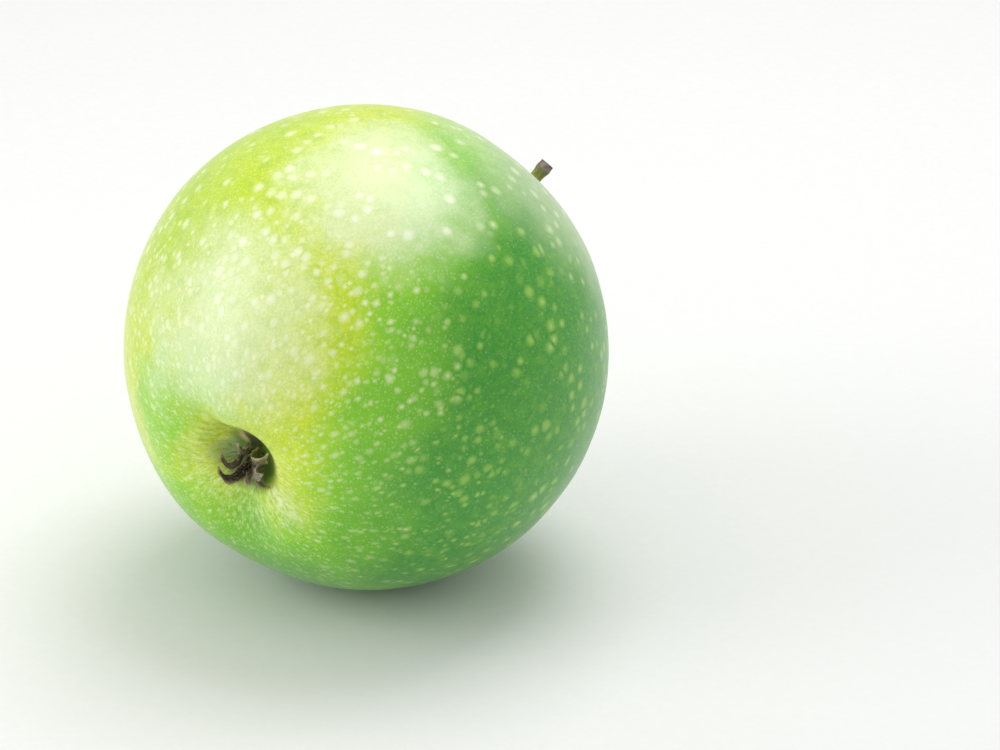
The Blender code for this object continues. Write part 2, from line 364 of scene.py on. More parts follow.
def rise(value, start, end):
    """0 before start and 1 after end, with a soft step between them. Start may be above end."""
    limits = sorted((start, end))
    made = add_node(
        value.tree, "ShaderNodeMapRange", (value, *limits), interpolation_type="SMOOTHSTEP"
    )
    share = Field(made.outputs[0])
    return 1.0 - share if start > end else share


def vector(x, y, z):
    field = next(value for value in (x, y, z) if isinstance(value, Field))
    return Field(add_node(field.tree, "ShaderNodeCombineXYZ", (x, y, z)).outputs[0])


def parts(field):
    """The three numbers in a vector."""
    made = add_node(field.tree, "ShaderNodeSeparateXYZ", (field,))
    return tuple(Field(socket) for socket in made.outputs)


def scaled(field, factors):
    """A vector times a number or times one number for each of its axes."""
    factors = (factors,) * 3 if isinstance(factors, float) else factors
    made = add_node(field.tree, "ShaderNodeVectorMath", (field, factors), operation="MULTIPLY")
    return Field(made.outputs[0])


def shifted(field, other):
    made = add_node(field.tree, "ShaderNodeVectorMath", (field, other), operation="ADD")
    return Field(made.outputs[0])


def noise(place, scale, detail=2.0, roughness=0.5, distortion=0.0):
    inputs = {
        "Vector": place, "Scale": scale, "Detail": detail,
        "Roughness": roughness, "Distortion": distortion,
    }
    return Field(add_node(place.tree, "ShaderNodeTexNoise", inputs).outputs[0])


def cells(place, scale, randomness=1.0):
    """Distance to the nearest of many scattered points, and a random colour for each of them."""
    inputs = {"Vector": place, "Scale": scale, "Randomness": randomness}
    made = add_node(place.tree, "ShaderNodeTexVoronoi", inputs)
    return Field(made.outputs["Distance"]), Field(made.outputs["Color"])


def tinted(first, second, share):
    """A colour between two, each a field or plain shares of red, green and blue."""
    first, second = [(*c, 1.0) if isinstance(c, tuple) else c for c in (first, second)]
    made = add_node(share.tree, "ShaderNodeMix", {0: share, 6: first, 7: second}, data_type="RGBA")
    return Field(made.outputs[2])


# --- Rules of the apple's shape ---
def bell(distance, reach, steepness):
    """1 at no distance, falling to nothing past reach."""
    return exponent(-((distance / reach) ** steepness))


def band(along, middle, reach):
    """1 at a place along something, falling off to either side."""
    return bell(work("ABSOLUTE", along - middle), reach, 2.0)


def hump(distance, reach):
    """0 at no distance, 1 at reach, and fading beyond it."""
    share = distance / reach
    return (share * exponent(1.0 - share)) ** 2


def ribs(azimuth, phase):
    """Five uneven ribs round the core, between about -1 and 1."""
    return sum(
        share * cosine(count * azimuth + (count - 4) * phase) for count, share in RIB_WAVES
    )


def beside(azimuth, fold_azimuth, width):
    """1 along a fold's azimuth, falling off to either side."""
    off = work("WRAP", azimuth - math.radians(fold_azimuth), math.pi, -math.pi)
    off = off / math.radians(width)
    return exponent(-(off * off))


def crowded(share, crowding):
    """Shares from 0 to 1 that crowd towards both ends, where the hollows need more rings."""
    return share - crowding * sine(TAU * share) / TAU


def cavity_depth_at(across, size):
    floor = size.cavity_floor_radius
    return size.cavity_depth * bell(
        hypotenuse(across, floor) - floor, size.cavity_radius, size.cavity_steepness
    )


def basin_depth_at(across, azimuth, size):
    x = across * cosine(azimuth) - size.pit_offset_x
    y = across * sine(azimuth) - size.pit_offset_y
    reach = size.basin_radius * (1.0 + size.basin_unevenness * ribs(azimuth, BASIN_RIB_PHASE))
    depth = size.basin_depth * bell(across, reach, 2.0)
    depth = depth + size.pit_depth * bell(hypotenuse(x, y), size.pit_radius, size.pit_steepness)
    for fold_azimuth, width, fold_depth, distance in BASIN_FOLDS:
        depth = depth + fold_depth * beside(azimuth, fold_azimuth, width) * hump(across, distance)
    return depth


def skin_rule(polar, azimuth, size):
    """Distance from the core and height along it, for a polar angle from the stalk end."""
    along, sideways = cosine(polar), sine(polar)
    stem_share = 0.5 + 0.5 * work("TANH", along / size.halves_blend)
    half_height = mix(size.calyx_half_height, size.stem_half_height, stem_share)
    fullness = mix(size.calyx_half_fullness, size.stem_half_fullness, stem_share)
    girth = (sideways / size.fruit_radius) ** fullness
    reach = (girth + (work("ABSOLUTE", along) / half_height) ** fullness) ** (-1.0 / fullness)
    across, height = reach * sideways, reach * along

    shoulder = hump(across, size.shoulder_reach) * along
    at_stalk = size.shoulder_rib_height * ribs(azimuth, SHOULDER_RIB_PHASE) * shoulder
    at_stalk += size.shoulder_tilt * cosine(azimuth - size.shoulder_tilt_azimuth) * shoulder
    at_stalk -= cavity_depth_at(across, size)

    rim = hump(across, size.basin_rib_reach) * -along
    at_calyx = basin_depth_at(across, azimuth, size)
    at_calyx -= size.basin_rib_height * ribs(azimuth, BASIN_RIB_PHASE) * rim
    return across, height + mix(at_calyx, at_stalk, work("GREATER_THAN", along, 0.0))


SIZES = SimpleNamespace(**FRUIT_SIZES)


def turned_down(y, z, turn):
    """The core turned from upright to how it lies."""
    return y * cosine(turn) - z * sine(turn), y * sine(turn) + z * cosine(turn)


def find_place():
    """Where the fruit's own centre is, so that the rule's shape stands where the CAD's does."""
    shares = np.linspace(0.0, 1.0, CAD_RINGS + 1)[:, None]
    polar = math.pi * crowded(shares, SIZES.ring_crowding)
    azimuth = np.linspace(0.0, TAU, CAD_SEGMENTS, endpoint=False)[None, :]
    across, height = skin_rule(polar, azimuth, SIZES)
    y, z = turned_down(across * np.sin(azimuth), height, SIZES.lay_down_angle)
    low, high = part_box("fruit")
    return Vector((0.0, (low.y + high.y - y.min() - y.max()) / 2, high.z - z.max()))


CORE_PLACE = find_place()
TO_WORLD = Matrix.Translation(CORE_PLACE) @ Matrix.Rotation(SIZES.lay_down_angle, 4, "X")


def skin_height(across, azimuth, stem_end):
    """Height along the core of the skin at a small distance from the core, at one end of the fruit."""
    low, high = 0.0, math.pi / 4
    for _ in range(36):
        middle = (low + high) / 2
        reached, height = skin_rule(middle if stem_end else math.pi - middle, azimuth, SIZES)
        if reached < across:
            low = middle
        else:
            high = middle
    return float(height)


# --- Growing a mesh from a tree ---
def size_tree(name, sizes):
    """A tree with a named input for each size, those inputs as fields, and the mesh that comes in."""
    tree = bpy.data.node_groups.new(name, "GeometryNodeTree")
    tree.interface.new_socket("Geometry", in_out="INPUT", socket_type="NodeSocketGeometry")
    tree.interface.new_socket("Geometry", in_out="OUTPUT", socket_type="NodeSocketGeometry")
    for label, value in sizes.items():
        kind = "NodeSocketInt" if isinstance(value, int) else "NodeSocketFloat"
        tree.interface.new_socket(label.replace("_", " "), in_out="INPUT", socket_type=kind)
    entry = tree.nodes.new("NodeGroupInput")
    fields = SimpleNamespace(
        **{label: Field(entry.outputs[label.replace("_", " ")]) for label in sizes}
    )
    return tree, fields, Field(entry.outputs["Geometry"])


def finish_tree(tree, geometry, material):
    """Ends a tree: smooth faces, real geometry in place of instances, and the material."""
    shaded = chain(tree, "GeometryNodeSetShadeSmooth", geometry)
    real = chain(tree, "GeometryNodeRealizeInstances", shaded)
    dressed = chain(tree, "GeometryNodeSetMaterial", real, {"Material": material})
    add_node(tree, "NodeGroupOutput", (dressed,))


def chain(tree, kind, geometry, inputs=None, **settings):
    """The next node on a line of geometry."""
    made = add_node(tree, kind, {0: geometry, **(inputs or {})}, **settings)
    return Field(made.outputs[0])


def note(tree, geometry, name, value, kind="FLOAT_VECTOR"):
    """Keeps a value on the points under a name that a material reads."""
    inputs = {"Name": name, "Value": value}
    return chain(tree, "GeometryNodeStoreNamedAttribute", geometry, inputs, data_type=kind)


def noted(tree, name):
    """A vector that was kept on the points under this name."""
    kind = "FLOAT_VECTOR"
    made = add_node(tree, "GeometryNodeInputNamedAttribute", {"Name": name}, data_type=kind)
    return Field(made.outputs[0])


def position(tree):
    return Field(add_node(tree, "GeometryNodeInputPosition").outputs[0])


def moved(tree, geometry, place):
    """Puts each point of a mesh, or each loose point, at this place."""
    return chain(tree, "GeometryNodeSetPosition", geometry, {"Position": place})


def ball_points(tree, segments, rings):
    """A closed ball to bend into shape, with how far down it each point is and the angle round it."""
    inputs = {"Segments": segments, "Rings": rings, "Radius": 1.0}
    ball = Field(add_node(tree, "GeometryNodeMeshUVSphere", inputs).outputs[0])
    x, y, z = parts(position(tree))
    share = work("ARCCOSINE", z) / math.pi
    return ball, share, work("ARCTAN2", y, x)


def capped(share, foot_cap, tip_cap):
    """How far along a stem each point of its ball comes, and how open the stem is there."""
    along = smallest(largest((share - foot_cap) / (tip_cap - foot_cap), 0.0), 1.0)
    opening = smallest(share / foot_cap, smallest((1.0 - share) / (1.0 - tip_cap), 1.0))
    return along, opening


def laid_down(x, y, z, turn):
    """A point about the core, as it lies in the world."""
    world_y, world_z = turned_down(y, z, turn)
    return x + CORE_PLACE.x, world_y + CORE_PLACE.y, world_z + CORE_PLACE.z


def grow(name, tree, sizes, start_mesh=None):
    """A finished object at the origin, from what a tree makes with these sizes."""
    obj = bpy.data.objects.new(name, start_mesh or bpy.data.meshes.new(name))
    bpy.context.scene.collection.objects.link(obj)
    modifier = obj.modifiers.new(name, "NODES")
    modifier.node_group = tree
    for item in tree.interface.items_tree:
        label = item.name.replace(" ", "_")
        if item.in_out == "INPUT" and label in sizes:
            modifier[item.identifier] = sizes[label]
    depsgraph = bpy.context.evaluated_depsgraph_get()
    depsgraph.update()
    mesh = bpy.data.meshes.new_from_object(
        obj.evaluated_get(depsgraph), preserve_all_data_layers=True, depsgraph=depsgraph
    )
    obj.modifiers.clear()
    obj.data = mesh
    mesh.name = name
    return obj


# --- Shader groups that more than one finish uses ---
def shader_group(name, inputs, outputs, rule):
    """A group with named number or vector inputs, whose rule gives one field for each output."""
    tree = bpy.data.node_groups.new(name, "ShaderNodeTree")
    kinds = {float: "NodeSocketFloat", tuple: "NodeSocketVector"}
    for label, value in inputs.items():
        socket = tree.interface.new_socket(label, in_out="INPUT", socket_type=kinds[type(value)])
        if isinstance(value, float):
            socket.default_value = value
    for label in outputs:
        tree.interface.new_socket(label, in_out="OUTPUT", socket_type="NodeSocketFloat")
    entry = tree.nodes.new("NodeGroupInput")
    made = rule(*[Field(entry.outputs[label]) for label in inputs])
    add_node(tree, "NodeGroupOutput", made)
    return tree


def use(tree, group, **values):
    """A group placed in a material with its own values, as one field for each output."""
    made = add_node(tree, "ShaderNodeGroup", node_tree=group)
    for label, value in values.items():
        feed(made.inputs[label], value)
    return [Field(socket) for socket in made.outputs]


def grain_rule(place, spacing, contrast):
    """Fine uneven specks, as a mask about one half."""
    fine = noise(place, 1.0 / spacing, 3.0, 0.65)
    distance, _ = cells(place, 0.8 / spacing)
    speck = mix(fine, distance, 0.45)
    return (0.5 + (speck - 0.5) * contrast,)


def fibre_rule(place, spacing, stretch, contrast):
    """Long uneven threads that run along the place's third axis, and the cracks between them."""
    x, y, z = parts(place)
    drawn_out = vector(x, y, z / stretch)
    thread = noise(drawn_out, 1.0 / spacing, 4.0, 0.6, 0.3)
    crack = rise(noise(drawn_out, 0.6 / spacing, 2.0, 0.5), 0.40, 0.33)
    return 0.5 + (thread - 0.5) * contrast, crack


GRAIN = shader_group(
    "fine_specks", {"Place": (), "Spacing": 0.4, "Contrast": 1.0}, ("Specks",), grain_rule
)
FIBRES = shader_group(
    "dry_fibres",
    {"Place": (), "Spacing": 0.2, "Stretch": 8.0, "Contrast": 1.0},
    ("Threads", "Cracks"),
    fibre_rule,
)


# --- Finishes ---
def new_material(name, **constants):
    """A material, its tree and its shader, with the shader's even values set on its own sockets."""
    made = bpy.data.materials.new(name)
    made.use_nodes = True
    tree = made.node_tree
    shader = tree.nodes["Principled BSDF"]
    for label, value in constants.items():
        shader.inputs[label.replace("_", " ")].default_value = value
    return made, tree, shader


def attribute(tree, name, output="Vector"):
    """A vector, or with the Fac output a number, that the mesh carries under this name."""
    made = add_node(tree, "ShaderNodeAttribute", attribute_name=name)
    return Field(made.outputs[output])


def object_place(tree):
    """The place on the piece in millimetres."""
    made = add_node(tree, "ShaderNodeTexCoord")
    return scaled(Field(made.outputs["Object"]), 1000.0)


def bumped(tree, shader, height, distance, strength):
    """Fine relief on a finish, where a height of 1 stands for this distance."""
    inputs = {"Height": height, "Distance": distance, "Strength": strength}
    made = add_node(tree, "ShaderNodeBump", inputs)
    feed(shader.inputs["Normal"], Field(made.outputs[0]))


def skin_material():
    """Waxy skin: yellow-green turning dark green, partly under painted shade, with pale painted highlights,
    pale spots, streaks into the basin, russet hollows.
    """
    made, tree, shader = new_material(
        "apple_skin_wax",
        Subsurface_Weight=0.12,
        Subsurface_Radius=(0.8, 1.0, 0.25),
        Subsurface_Scale=0.0025,
        Coat_Roughness=0.26,
        Coat_IOR=1.45,
        IOR=1.46,
        Sheen_Weight=0.10,
        Sheen_Roughness=0.35,
        Sheen_Tint=(0.90, 1.0, 0.86, 1.0),
    )
    # every place is in millimetres: core runs from the core's middle, with z towards the stalk end
    place = object_place(tree)
    core = attribute(tree, "core_space")
    spots = attribute(tree, "spot_space")
    x, y, z = parts(core)
    across = hypotenuse(x, y)
    radial = vector(x / (across + 0.6), y / (across + 0.6), across * 0.06)

    # ground colour: a yellower side and a greener side, partly the fruit's own green and partly painted shade
    # that turns it dark green on the shaded side and towards the bottom, with soft clouds between them
    px, py, pz = parts(place)
    clouds = noise(core, 0.07, 3.0, 0.55) - 0.5
    # painted shade: darker green towards the bottom of the fruit
    painted_underside_shade = 0.76 * facing(px, py, pz, (0.0, 0.0, -1.0)) - 0.26
    side = largest(facing(px, py, pz, PAINTED_SHADE_SIDE), painted_underside_shade) + clouds * 0.50
    # noise that varies the wax's roughness and wanders the edges of the painted highlights and the green
    # cheek
    bloom_and_painted_highlight = noise(core, 0.10, 3.0, 0.6)
    green = largest(rise(side, -0.17, 0.18), side_patch(px, py, pz, bloom_and_painted_highlight, *GREEN_CHEEK))
    deep_green_and_shade = rise(side, 0.0, 0.50)
    far_side = rise(side, -0.30, -0.95) * 0.70
    ground = tinted(SKIN.sunny, SKIN.sunny_far_side, far_side)
    ground = tinted(ground, SKIN.green, green)
    ground = tinted(ground, SKIN.deep_green_painted_shade, deep_green_and_shade)

    # painted highlights and a painted reflection: soft paler patches facing the two softboxes and along the
    # upper shoulder, partly the wax's own paleness
    top_painted_highlight, front_painted_highlight, shoulder_painted_reflection = [
        side_patch(px, py, pz, bloom_and_painted_highlight, *patch) for patch in PAINTED_HIGHLIGHTS
    ]
    painted_highlight = largest(largest(top_painted_highlight, front_painted_highlight), shoulder_painted_reflection)
    ground = tinted(ground, SKIN.bloom_and_painted_highlight, painted_highlight * 0.74)

    # clouds of slightly darker green, and fine pale dots that fade where the skin is dark green under painted
    # shade
    mottle = noise(core, 0.42, 4.0, 0.62)
    cloudy = rise(mottle, 0.56, 0.30) * mix(0.30, 0.12, painted_highlight)
    ground = tinted(ground, SKIN.cloud, cloudy)
    (specks,) = use(tree, GRAIN, Place=core, Spacing=0.42, Contrast=1.6)
    network, fleck = cells(core, 2.4)
    fleck_keep, _, _ = parts(fleck)
    network_share = mix(mix(0.26, 0.14, deep_green_and_shade), 0.12, painted_highlight)
    ground = tinted(ground, SKIN.network, rise(network, 0.42, 0.80) * network_share)
    flecks = rise(network, 0.50, 0.12) * rise(fleck_keep, 0.10, 0.80)
    ground = tinted(ground, SKIN.fleck, flecks * mix(0.30, 0.10, deep_green_and_shade))
    ground = tinted(ground, SKIN.dot, fine_dots(core, 1.7) * mix(0.36, 0.16, deep_green_and_shade))

    # spots: soft pale rings round a bright middle, smaller and drawn out towards the calyx
    halo, middle = spot_masks(spots, 0.38, 0.44)
    small_halo, small_middle = spot_masks(shifted(spots, SMALL_SPOT_SHIFT), 0.55, 0.40)
    small_share = rise(z, -2.0, -22.0)
    halo = largest(halo, small_halo * small_share)
    middle = largest(middle, small_middle * small_share * 0.8)
    near_end = rise(z, -20.0, -31.0)
    pale = tinted(SKIN.spot, SKIN.spot_on_deep_green_shade, deep_green_and_shade)
    pale = tinted(pale, SKIN.spot_on_painted_highlight, painted_highlight)
    skin = tinted(ground, pale, halo * mix(0.66, 0.46, near_end))
    skin = tinted(skin, SKIN.spot_middle, middle * mix(0.62, 0.18, largest(deep_green_and_shade, near_end)))

    # hollows: streaks that run into the basin, the pale ones partly a painted sheen, russet near the dried
    # parts, and painted highlight and painted shade in the basin's folds and pit
    calyx_end = rise(z, -12.0, -22.0)
    stalk_end = rise(z, 6.0, 16.0)
    streaks = noise(radial, 13.0, 4.0, 0.65, 0.2)
    near_calyx = calyx_end * rise(across, 13.0, 7.5)
    # pale streaks, partly the skin's own and partly painted sheen
    skin = tinted(skin, SKIN.pale_streak_and_sheen, near_calyx * rise(streaks, 0.45, 0.62) * 0.42)
    skin = tinted(skin, SKIN.dark_streak, near_calyx * rise(streaks, 0.50, 0.36) * 0.24)
    azimuth = work("ARCTAN2", y, x)
    lip = calyx_end * rise(across, 4.5, 7.0) * rise(across, 15.0, 9.0)
    # painted highlight along a ridge of the basin
    painted_ridge_highlight = lip * beside(azimuth, 28.0, 12.0) * rise(streaks, 0.30, 0.60)
    skin = tinted(skin, SKIN.painted_ridge_highlight, painted_ridge_highlight * 0.62)
    # painted shade in a fold of the basin
    painted_fold_shade = lip * beside(azimuth, 88.0, 15.0) * rise(streaks, 0.66, 0.40)
    skin = tinted(skin, SKIN.painted_fold_shade, painted_fold_shade * 0.45)
    patches = noise(core, 0.55, 4.0, 0.6)
    pit = calyx_end * rise(across + patches * 5.0, 8.4, 4.6)
    skin = tinted(skin, SKIN.pit_russet, pit * rise(patches, 0.40, 0.60) * 0.5)
    # painted shade: a dark green ring in the recess of the pit
    pit_shade_ring = calyx_end * rise(across + patches * 2.0, 6.8, 4.6)
    skin = tinted(skin, SKIN.pit_painted_shade, pit_shade_ring * 0.85)
    lit_wall = calyx_end * patch_at(x, y, -4.4, -0.8, 2.6, patches)
    skin = tinted(skin, SKIN.lit_wall, lit_wall * rise(streaks, 0.30, 0.62) * 0.75)
    # painted shade: a near-black patch in the recess beside the calyx
    painted_hollow_shade = calyx_end * patch_at(x, y, 0.5, -3.4, 2.7, patches)
    skin = tinted(skin, SKIN.painted_hollow_shade, painted_hollow_shade * 0.9)
    curl = calyx_end * patch_at(x, y, -1.5, -3.2, 1.7, patches) * rise(patches, 0.34, 0.52)
    skin = tinted(skin, SKIN.curl, curl * 0.9)
    cavity = stalk_end * rise(across + patches * 7.0, 13.0, 5.0)
    rays = noise(scaled(radial, (1.0, 1.0, 0.5)), 6.0, 4.0, 0.6)
    skin = tinted(skin, SKIN.cavity_olive, cavity * 0.55)
    skin = tinted(skin, SKIN.cavity_russet, cavity * rise(rays, 0.42, 0.60) * 0.75)
    feed(shader.inputs["Base Color"], skin)

    russet = largest(pit, cavity)
    roughness = mix(0.34, 0.46, bloom_and_painted_highlight) + halo * 0.05 + russet * 0.28
    feed(shader.inputs["Roughness"], roughness)
    feed(shader.inputs["Coat Weight"], 0.38 - russet * 0.34)
    height = halo * 0.35 + specks * 0.16 + mottle * 0.9
    height = height + near_calyx * streaks * 1.2 + russet * patches * 2.0
    bumped(tree, shader, height, 0.00006, 0.6)
    return made


def facing(x, y, z, towards):
    """How far this way a place lies from the fruit's middle, as a share of the skin's radius."""
    y = y - CORE_PLACE.y / MM
    z = z - CORE_PLACE.z / MM
    return (x * towards[0] + y * towards[1] + z * towards[2]) / SKIN_RADIUS


def side_patch(x, y, z, wander, towards, edge, strength):
    """A soft patch of the skin that faces this way, with a wandering edge."""
    reach = facing(x, y, z, towards) + (wander - 0.5) * 0.20
    return rise(reach, edge - 0.02, 1.0) * strength


def patch_at(x, y, centre_x, centre_y, reach, wander):
    """A soft, uneven patch in a hollow, round this place beside the core in millimetres."""
    distance = hypotenuse(x - centre_x, y - centre_y)
    return rise(distance + (wander - 0.5) * 2.2, reach, reach * 0.45)


def fine_dots(place, scale):
    """Scattered dots with soft edges, some of them fainter than others."""
    distance, colour = cells(place, scale)
    keep, _, _ = parts(colour)
    return rise(distance, 0.42, 0.12) * rise(keep, 0.3, 0.9)


def spot_masks(place, scale, radius):
    """Scattered soft spots, each of its own size and strength, and the small bright middles of them."""
    distance, colour = cells(place, scale, 0.9)
    keep, size, _ = parts(colour)
    inputs = {"Vector": place, "Scale": scale, "Randomness": 0.9}
    border = add_node(place.tree, "ShaderNodeTexVoronoi", inputs, feature="DISTANCE_TO_EDGE")
    apart = rise(Field(border.outputs["Distance"]), 0.0, 0.16)
    reach = radius * (0.65 + 0.7 * size)
    wobble = noise(place, 2.2, 2.0, 0.6) - 0.5
    share = (distance + wobble * 0.10) / reach
    halo = rise(share, 1.0, 0.25) * rise(keep, 0.05, 0.45) * apart
    middle = rise(share, 0.40, 0.08) * rise(keep, 0.35, 0.85)
    return halo, middle


def bark_material():
    """Thin ridged bark: olive-brown, greener in the middle, with a dark collar and a pale cut end."""
    made, tree, shader = new_material("stalk_bark_dry", IOR=1.45)
    core = attribute(tree, "stalk_space")
    x, y, _ = parts(core)
    share = attribute(tree, "stalk_share", "Fac")
    cut = attribute(tree, "cut_face", "Fac")
    threads, cracks = use(tree, FIBRES, Place=core, Spacing=0.32, Stretch=9.0, Contrast=1.7)
    (specks,) = use(tree, GRAIN, Place=core, Spacing=0.30, Contrast=1.6)
    wander = noise(core, 0.35, 3.0, 0.6)
    colour = tinted(BARK.yellow_olive, BARK.green_olive, rise(wander, 0.38, 0.62))
    colour = tinted(colour, BARK.thread, rise(threads, 0.5, 0.95) * 0.7)
    colour = tinted(colour, BARK.crack, cracks * 0.6)
    foot = rise(share, 0.30, 0.02)
    colour = tinted(colour, BARK.foot, foot * 0.7)
    collar = rise(share + (wander - 0.5) * 0.05, 0.938, 0.976)
    colour = tinted(colour, BARK.collar, collar * 0.9)
    colour = tinted(colour, BARK.collar_cloud, collar * rise(wander, 0.50, 0.62) * 0.6)
    colour = tinted(colour, BARK.collar_speck, collar * rise(specks, 0.55, 0.85) * 0.6)
    colour = tinted(colour, BARK.speck, rise(specks, 0.35, 0.15) * 0.5)
    radial = hypotenuse(x, y)
    end_grain = tinted(BARK.pith, BARK.end_rim, rise(radial, 0.35, 0.95))
    end_grain = tinted(end_grain, BARK.end_speck, rise(specks, 0.5, 0.2) * 0.6)
    colour = tinted(colour, end_grain, cut)
    feed(shader.inputs["Base Color"], colour)
    feed(shader.inputs["Roughness"], 0.58 + specks * 0.25)
    bumped(tree, shader, threads - cracks * 0.8 + specks * 0.5, 0.00008, 0.8)
    return made


def sepal_material():
    """Dried leafy tissue: brown faces that turn olive at the foot, with tan edges and tips."""
    made, tree, shader = new_material("dry_sepal_tissue", IOR=1.4)
    blade = attribute(tree, "blade_space")
    side, along, _ = parts(blade)
    place = object_place(tree)
    crosswise = scaled(blade, (5.0, 4.0, 6.0))
    threads, cracks = use(tree, FIBRES, Place=crosswise, Spacing=0.7, Stretch=1.0, Contrast=1.8)
    (specks,) = use(tree, GRAIN, Place=place, Spacing=0.16, Contrast=1.8)
    dark, grey, greenish = parts(attribute(tree, "blade_tone"))
    patches = noise(place, 1.1, 3.0, 0.65)
    colour = tinted(BLADE.dark_brown, BLADE.brown, rise(patches, 0.36, 0.60))
    colour = tinted(colour, BLADE.olive_foot, rise(along, 0.70, 0.1) * 0.80)
    colour = tinted(colour, BLADE.tan_fibre, rise(threads, 0.55, 0.90) * 0.55)
    colour = tinted(colour, BLADE.green, greenish * rise(patches, 0.62, 0.36) * 0.85)
    colour = tinted(colour, BLADE.grey, grey * rise(patches, 0.66, 0.40) * 0.75)
    colour = tinted(colour, BLADE.black_brown, dark * rise(patches, 0.22, 0.44) * 0.95)
    edge = rise(work("ABSOLUTE", side) + (patches - 0.5) * 0.35, 0.66, 0.96)
    tip = rise(along + (patches - 0.5) * 0.3, 0.82, 0.98)
    colour = tinted(colour, BLADE.tan_edge, largest(edge, tip) * mix(0.85, 0.45, dark))
    colour = tinted(colour, BLADE.pale_green_tip, greenish * rise(along, 0.72, 0.95) * 0.5)
    colour = tinted(colour, BLADE.speck, rise(specks, 0.40, 0.15) * 0.75)
    feed(shader.inputs["Base Color"], colour)
    feed(shader.inputs["Roughness"], 0.72 + specks * 0.2)
    bumped(tree, shader, threads + specks * 0.6 - cracks * 0.5, 0.00006, 0.8)
    return made


def thread_material():
    """Dried threads: nearly black-brown, with paler, dusty knobs."""
    made, tree, shader = new_material("dry_stamen_thread", IOR=1.4)
    place = object_place(tree)
    share = attribute(tree, "thread_share", "Fac")
    (specks,) = use(tree, GRAIN, Place=place, Spacing=0.12, Contrast=1.8)
    colour = tinted(THREAD.dark, THREAD.light, specks)
    colour = tinted(colour, THREAD.dust, rise(share, 0.80, 0.92) * rise(specks, 0.5, 0.8))
    feed(shader.inputs["Base Color"], colour)
    feed(shader.inputs["Roughness"], 0.75 + specks * 0.15)
    bumped(tree, shader, specks, 0.00003, 0.7)
    return made


def down_material():
    """Short pale hairs, some darker than others."""
    made, tree, shader = new_material("sepal_down_hair", IOR=1.4)
    place = object_place(tree)
    (specks,) = use(tree, GRAIN, Place=place, Spacing=0.5, Contrast=1.5)
    feed(shader.inputs["Base Color"], tinted(DOWN.dark, DOWN.light, specks))
    feed(shader.inputs["Roughness"], 0.6 + specks * 0.2)
    return made


def floor_material():
    """Pale matt paper."""
    made, tree, shader = new_material("pale_paper", IOR=1.4)
    place = object_place(tree)
    (fibres,) = use(tree, GRAIN, Place=place, Spacing=1.2, Contrast=1.0)
    feed(shader.inputs["Base Color"], tinted(PAPER.dark, PAPER.light, fibres))
    feed(shader.inputs["Roughness"], 0.8 + fibres * 0.1)
    return made


# --- Pieces ---
def make_fruit(material):
    """The skin, from the same rule as the CAD fruit, with gentle waves and a flat spot to rest on."""
    tree, size, _ = size_tree("apple_fruit", FRUIT_SIZES)
    ball, share, azimuth = ball_points(tree, FRUIT_SEGMENTS, FRUIT_RINGS)
    polar = math.pi * crowded(share, size.ring_crowding)
    across, height = skin_rule(polar, azimuth, size)
    x, y = across * cosine(azimuth), across * sine(azimuth)
    fruit = note(tree, ball, "core_space", scaled(vector(x, y, height), 1000.0))

    # spots lie on a ball at the stalk half and on a tube at the calyx half, so that they grow
    # smaller and closer together round the calyx, and are drawn out towards it
    widest = size.fruit_radius / MM
    stem_half = work("GREATER_THAN", height, 0.0)
    opening = work("LOGARITHM", work("TANGENT", largest(polar, math.pi / 2) / 2), math.e)
    drawn_in = 1.6 * work("ARCTANGENT", smallest(opening, 6.0) / 1.6)
    girth = widest * mix(1.0, sine(polar), stem_half)
    level = widest * mix(-drawn_in, cosine(polar), stem_half)
    spot_place = vector(girth * cosine(azimuth), girth * sine(azimuth), level)
    fruit = note(tree, fruit, "spot_space", spot_place)

    core_x, core_y, core_z = parts(scaled(noted(tree, "core_space"), MM))
    waves = (noise(noted(tree, "core_space"), 0.12, 2.0) - 0.5) * 2.0
    swell = 1.0 + size.waviness / size.fruit_radius * waves
    wx, wy, wz = laid_down(core_x * swell, core_y * swell, core_z * swell, size.lay_down_angle)
    fruit = moved(tree, fruit, vector(wx, wy, largest(wz, 0.0)))
    finish_tree(tree, fruit, material)
    return grow("apple_skin", tree, FRUIT_SIZES)


